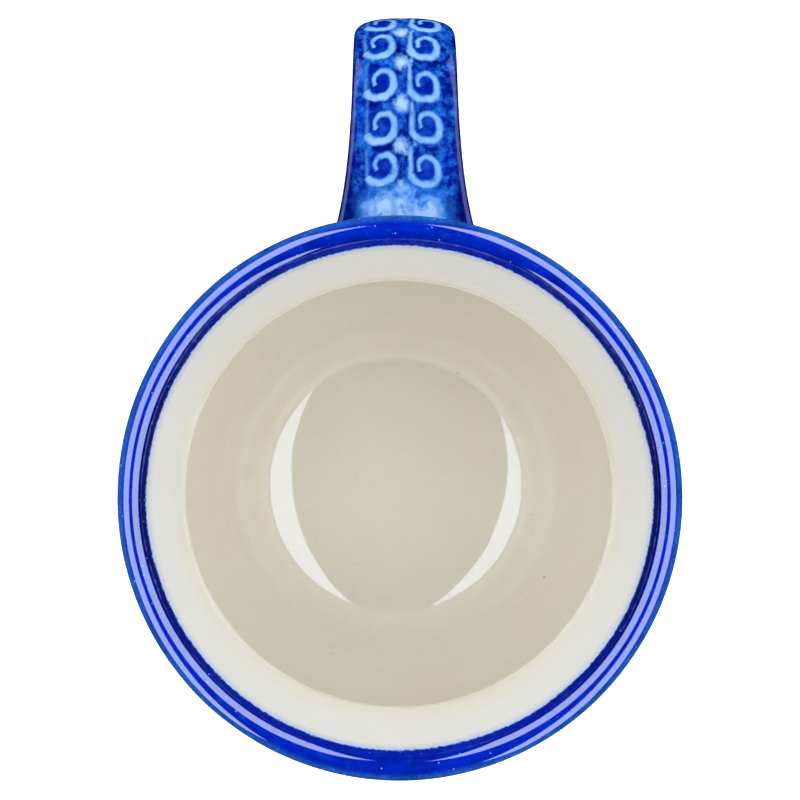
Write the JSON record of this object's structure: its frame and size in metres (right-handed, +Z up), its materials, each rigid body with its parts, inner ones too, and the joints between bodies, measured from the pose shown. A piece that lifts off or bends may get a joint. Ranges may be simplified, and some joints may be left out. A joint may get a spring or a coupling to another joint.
{
  "type": "stoneware mug",
  "caption": "Round-bellied stoneware mug with a flared cobalt rim, a cream glazed inside and a curl-stamped strap handle.",
  "frame": {"origin": "on the table plane at the cup's axis, in the middle of the foot ring", "axes": "+Z up along the cup's axis, +X towards the handle, +Y completes the right hand"},
  "size_m": [0.1247, 0.0906, 0.095],
  "materials": {
    "bare_stoneware": "matte fired clay",
    "cream_glaze": "glossy with iron specks",
    "cobalt_glaze": "glossy",
    "stamped_body_glaze": "glossy over stamped and sponged cobalt",
    "stamped_handle_glaze": "glossy over stamped and sponged cobalt"
  },
  "bodies": {
    "root": {"cup_body": "bare_stoneware", "handle": "bare_stoneware", "inner_glaze": "cream_glaze", "rim_glaze": "cobalt_glaze", "outer_glaze": "stamped_body_glaze", "handle_glaze": "stamped_handle_glaze", "base_glaze": "cream_glaze"}
  },
  "joints": []
}
